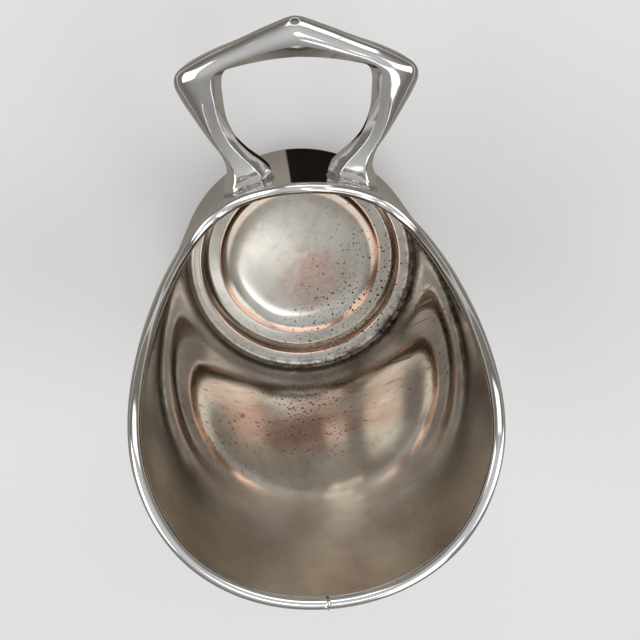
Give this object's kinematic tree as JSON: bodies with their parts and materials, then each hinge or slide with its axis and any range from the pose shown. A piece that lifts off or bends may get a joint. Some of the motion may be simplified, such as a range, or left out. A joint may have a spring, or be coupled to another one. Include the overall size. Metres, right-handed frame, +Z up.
{
  "type": "sauce boat",
  "caption": "Deep round silver-plated sauce boat with a stepped foot, a mouth that sweeps up to a tall lip, an applied rim wire and a stirrup handle.",
  "frame": {"origin": "centre of the flat resting face under the base", "axes": "+Z up; +Y towards the handle, so the pouring lip is at -Y; +X across"},
  "size_m": [0.0818, 0.1198, 0.1249],
  "materials": {
    "body_silver": "silver plate over copper: polished outside, worn satin inside with copper showing on the raised rings",
    "mouth_wire_silver": "polished silver plate with fine scratches",
    "handle_silver": "polished silver plate on a casting, with fine scratches",
    "solder": "plated solder, slightly dull"
  },
  "bodies": {
    "root": {"body_shell": "body_silver", "mouth_wire": "mouth_wire_silver", "mouth_wire_joint": "solder", "handle": "handle_silver", "handle_solder_right": "solder", "handle_solder_left": "solder"}
  },
  "joints": []
}
